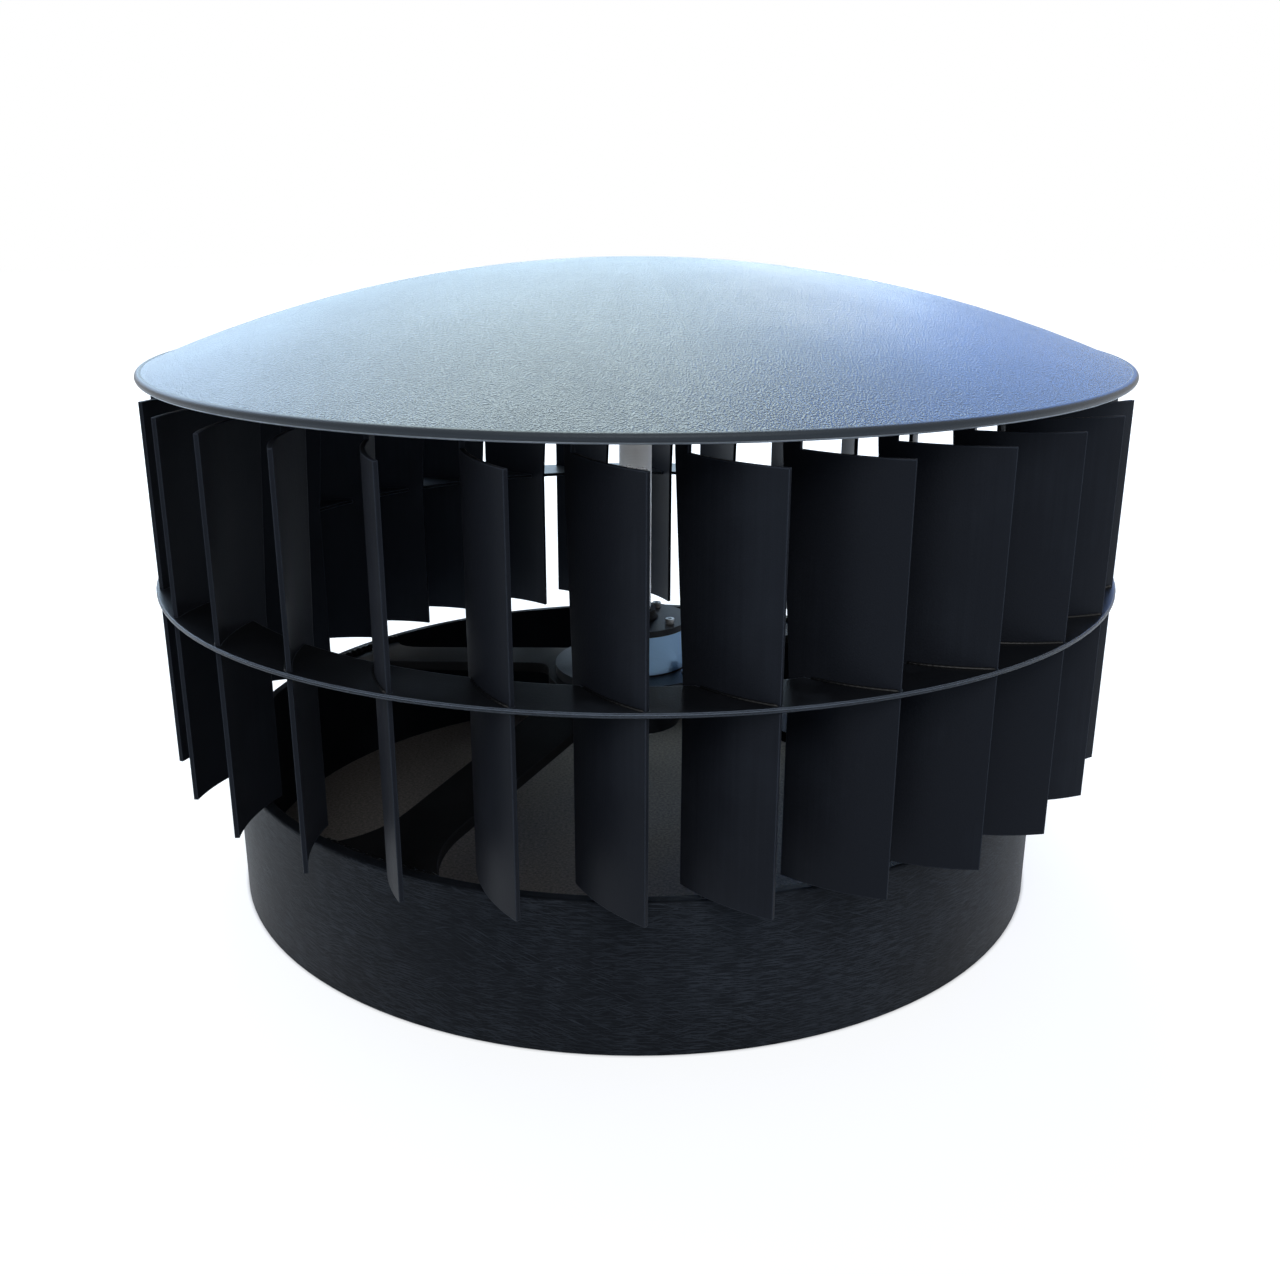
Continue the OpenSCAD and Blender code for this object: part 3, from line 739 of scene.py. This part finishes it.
def to_rotor(points):
    """Turns plan points from one vane's frame to all vanes: (n, 2) becomes (vanes, n, 2)."""
    c, s = math.cos(chord_turn), math.sin(chord_turn)
    placed = points @ np.array([[c, s], [-s, c]]) + root
    turns = PHASE + FULL_TURN / VANES * np.arange(VANES)
    c, s = np.cos(turns)[:, None], np.sin(turns)[:, None]
    x, y = placed[:, 0], placed[:, 1]
    return np.stack([x * c - y * s, x * s + y * c], -1)


print("chord", round(chord_len * 1000, 2), "mm, turned",
      round(math.degrees(chord_turn), 2), "degrees")

# %% Bead along a corner
BEAD_DEPTH = 0.15


def sideways(plan):
    """Unit vectors square to a plan path: its direction turned by 90 degrees."""
    along = np.gradient(plan, axis=-2)
    along /= np.linalg.norm(along, axis=-1, keepdims=True)
    return np.stack([along[..., 1], -along[..., 0]], -1)


def flat3(plan, z):
    """Plan points or vectors (..., 2) lifted to height z."""
    return np.concatenate([plan, np.full(plan.shape[:-1] + (1,), z)], -1)


def upward(like):
    """A vector that points up for each vector of like."""
    made = np.zeros_like(like)
    made[..., 2] = 1.0
    return made


def bead(path, wall_a, wall_b, size, ripple=0.12, pitch=0.004, steps=7):
    """P(s, f) = path(s) + size(s) (cos f wall_a + sin f wall_b), f from 0 to 90 degrees, closed
    through the corner. size(s) swells as 1 + ripple sin(2 pi s / pitch) and runs out round at
    both ends."""
    hops = np.cumsum(np.linalg.norm(np.diff(path, axis=-2), axis=-1), -1)
    run = np.concatenate([np.zeros(path.shape[:-2] + (1,)), hops], -1)
    total = run[..., -1:]
    ends = np.clip(np.minimum(run, total - run) / size, 0.0, 1.0)
    swell = 1 + ripple * np.sin(FULL_TURN * run / pitch)
    here = (size * swell * np.sqrt(1 - (1 - ends) ** 2 + 1e-4))[..., None, None]
    f = np.linspace(0.0, math.pi / 2, steps)[:, None]
    arc = here * (np.cos(f) * wall_a[..., None, :] + np.sin(f) * wall_b[..., None, :])
    corner = path[..., None, :] - BEAD_DEPTH * here * (wall_a + wall_b)[..., None, :]
    return np.concatenate([path[..., None, :] + arc, corner], -2)


print("bead helpers ready")

# %% Beads where the vanes pass the ring
RING_BEAD = 0.0013
BEAD_FROM = 0.0150
BEAD_SHORT_OF_TIP = 0.0010
BEAD_POINTS = 40

ring_low, ring_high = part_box("mid_ring")
outside = to_rotor(vane_path(BEAD_FROM, chord_len - BEAD_SHORT_OF_TIP, BEAD_POINTS,
                             off=VANE_T / 2))
away = flat3(sideways(outside), 0.0)
up = upward(away)
skin("ring_weld_tops", bead(flat3(outside, ring_high.z), away, up, RING_BEAD),
     WELD_BLACK, "rotor")
skin("ring_weld_feet", bead(flat3(outside, ring_low.z), away, -up, RING_BEAD),
     WELD_BLACK, "rotor")

# %% Beads where the arms meet the neck
ARMS = 4
ARM_PHASE = math.radians(57.0)
ARM_END = math.radians(9.3)
ARM_T = 0.008
ARM_POINTS = 60
NECK_WALL = 0.008
WALL_R = NECK_R - NECK_WALL
ARM_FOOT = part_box("support_spider")[0].z
ARM_BEAD = 0.0040
ARM_PITCH = 0.007
TOP_LIFT = 0.0012
FOOT_LIFT = 0.0016

arm_turns = ARM_PHASE + FULL_TURN / ARMS * np.arange(ARMS)[:, None]
arm_turns = arm_turns + np.linspace(-ARM_END, ARM_END, ARM_POINTS)
wall = np.stack([WALL_R * np.cos(arm_turns), WALL_R * np.sin(arm_turns)], -1)
inward = flat3(-wall / WALL_R, 0.0)
rise = upward(inward)
skin("arm_weld_tops",
     bead(flat3(wall, ARM_FOOT + ARM_T + TOP_LIFT), inward, rise, ARM_BEAD, pitch=ARM_PITCH),
     WELD_BLACK, "base")
skin("arm_weld_feet",
     bead(flat3(wall, ARM_FOOT + FOOT_LIFT), inward, -rise, ARM_BEAD, pitch=ARM_PITCH),
     WELD_BLACK, "base")

# %% [markdown]
# ## Floor, backdrop and light
# The picture has a white background. A white floor would throw much light up
# at a black object, so the floor and the world are white where they are seen,
# directly or in a reflection, and grey to the light that they scatter. Through
# the neck one sees grey ground. A bank of large soft boxes stands behind the
# cowl, as bright as a hazy sky: their reflection gives the cap its sheen.

# %% What is seen, and what only scatters light
WHITE = (1.0, 1.0, 1.0, 1.0)


def is_seen(tree):
    """1 for camera, glossy and transmission rays, 0 for scattered light."""
    rays = add_node(tree, "LightPath").outputs
    mirrored = math_node(tree, "MAXIMUM", rays["Is Glossy Ray"], rays["Is Transmission Ray"])
    return math_node(tree, "MAXIMUM", rays["Is Camera Ray"], mirrored)


print("ray test ready")

# %% Floor
FLOOR_R = 9.0
FLOOR_POINTS = 96
NECK_EDGE = (0.318, 0.312)
GRIT_A_METRE = 420.0
GRIT_FROM_TO = (0.3, 0.7)
GRIT_DARK = (0.140, 0.122, 0.107)
GRIT_PALE = (0.290, 0.258, 0.230)
SCATTER_GREY = (0.22, 0.22, 0.22)
SHADOW_GREY = (0.42, 0.42, 0.42, 1.0)
GLOW_NEAR_FAR = (0.6, 2.4, 0.80, 1.0)


def floor_finish():
    """White with a soft shadow where it is seen, grey to scattered light, gritty in the neck."""
    made = bpy.data.materials.new("floor")
    made.use_nodes = True
    tree = made.node_tree
    tree.nodes.remove(tree.nodes["Principled BSDF"])
    where = place_of(tree)
    out = add_node(tree, "VectorMath", {0: where}, operation="LENGTH").outputs["Value"]
    inside = remap(tree, out, *NECK_EDGE)
    speck = remap(tree, noise_at(tree, where, GRIT_A_METRE, 6.0, 0.75), *GRIT_FROM_TO)
    tone = blend(tree, inside, SCATTER_GREY, blend(tree, speck, GRIT_DARK, GRIT_PALE))
    ground = add_node(tree, "BsdfDiffuse", {"Color": tone})
    pale = add_node(tree, "BsdfDiffuse", {"Color": SHADOW_GREY})
    glow = add_node(tree, "Emission", {"Color": WHITE,
                                       "Strength": remap(tree, out, *GLOW_NEAR_FAR)})
    white = add_node(tree, "AddShader", {0: pale.outputs[0], 1: glow.outputs[0]})
    seen = times(tree, is_seen(tree), minus(tree, 1.0, inside))
    both = add_node(tree, "MixShader", {0: seen, 1: ground.outputs[0], 2: white.outputs[0]})
    tree.links.new(both.outputs[0], tree.nodes["Material Output"].inputs["Surface"])
    return made


def build_floor():
    """A round floor of radius FLOOR_R: one flat face with FLOOR_POINTS corners."""
    disc = bpy.data.meshes.new("floor")
    a = np.linspace(0.0, FULL_TURN, FLOOR_POINTS, endpoint=False)
    edge = np.stack([FLOOR_R * np.cos(a), FLOOR_R * np.sin(a), np.zeros_like(a)], -1)
    disc.from_pydata(edge, [], [list(range(FLOOR_POINTS))])
    floor = bpy.data.objects.new("floor", disc)
    bpy.context.scene.collection.objects.link(floor)
    disc.materials.append(floor_finish())
    floor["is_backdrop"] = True


build_floor()
print("floor ready")

# %% World: white where it is seen, a dim sky for the light
HORIZON = (0.20, 0.24, 0.30)
OVERHEAD = (0.42, 0.50, 0.62)
SKY_FROM_TO = (-0.05, 0.9)


def build_world():
    """White where it is seen; for scattered light, a sky that grows from the horizon to
    overhead."""
    world = bpy.data.worlds.new("studio")
    bpy.context.scene.world = world
    world.use_nodes = True
    tree = world.node_tree
    plain = tree.nodes["Background"]
    way_up = split(tree, add_node(tree, "TexCoord").outputs["Generated"])[2]
    sky = blend(tree, remap(tree, way_up, *SKY_FROM_TO), HORIZON, OVERHEAD)
    tree.links.new(sky, plain.inputs["Color"])
    fill(plain, Strength=1.0)
    white = add_node(tree, "Background", {"Color": WHITE, "Strength": 1.0})
    both = add_node(tree, "MixShader", {0: is_seen(tree), 1: plain.outputs[0],
                                        2: white.outputs[0]})
    tree.links.new(both.outputs[0], tree.nodes["World Output"].inputs["Surface"])


build_world()
print("world ready")

# %% Lamps
AIM = (0.0, 0.0, 0.43)
# name, bearing from +Y and height in degrees, distance, width and height, radiance
SOFT_BOXES = [("middle_box", -9, 47, 2.6, (1.9, 1.5), (4.2, 5.1, 5.0)),
              ("left_box", -48, 28, 2.6, (1.5, 1.5), (2.0, 2.8, 3.9)),
              ("right_box", 33, 30, 2.6, (1.3, 1.7), (0.02, 0.75, 2.8)),
              ("low_box", -7, 13, 2.9, (2.8, 1.0), (1.0, 1.7, 2.4)),
              ("streak_box", 13.5, 13.5, 2.8, (0.6, 0.25), (3.6, 3.3, 2.5)),
              ("front_box", 174, 40, 3.3, (1.8, 1.8), (2.6, 2.6, 2.6))]


def soft_box(name, bearing, height, distance, size, radiance):
    """A rectangular area lamp that faces AIM; its power follows from radiance x area x pi, so
    its reflection is as bright as the radiance says."""
    b, h = math.radians(bearing), math.radians(height)
    data = bpy.data.lights.new(name, "AREA")
    data.shape = "RECTANGLE"
    data.size, data.size_y = size
    peak = max(radiance)
    data.energy = peak * size[0] * size[1] * math.pi
    data.color = [c / peak for c in radiance]
    lamp = bpy.data.objects.new(name, data)
    way = Vector((math.cos(h) * math.sin(b), math.cos(h) * math.cos(b), math.sin(h)))
    lamp.location = Vector(AIM) + distance * way
    lamp.rotation_euler = way.to_track_quat("Z", "Y").to_euler()
    lamp.visible_camera = False
    bpy.context.scene.collection.objects.link(lamp)


for box in SOFT_BOXES:
    soft_box(*box)
print("lamps:", len(SOFT_BOXES))

# %% [markdown]
# ## Finish
# Standard colour handling shows the values as they are. The two boxes tell
# how far the pieces that were added reach past the solids.

# %% Plain colour handling
bpy.context.scene.view_settings.view_transform = "Standard"
print("view transform:", bpy.context.scene.view_settings.view_transform)

# %% Print how far the added pieces reach past the solids
visual_box = [list(v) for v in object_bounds()]
grown = [[round((b - a) * 1000, 2) for a, b in zip(u, v)] for u, v in zip(cad_box, visual_box)]
print("grown by mm:", grown)
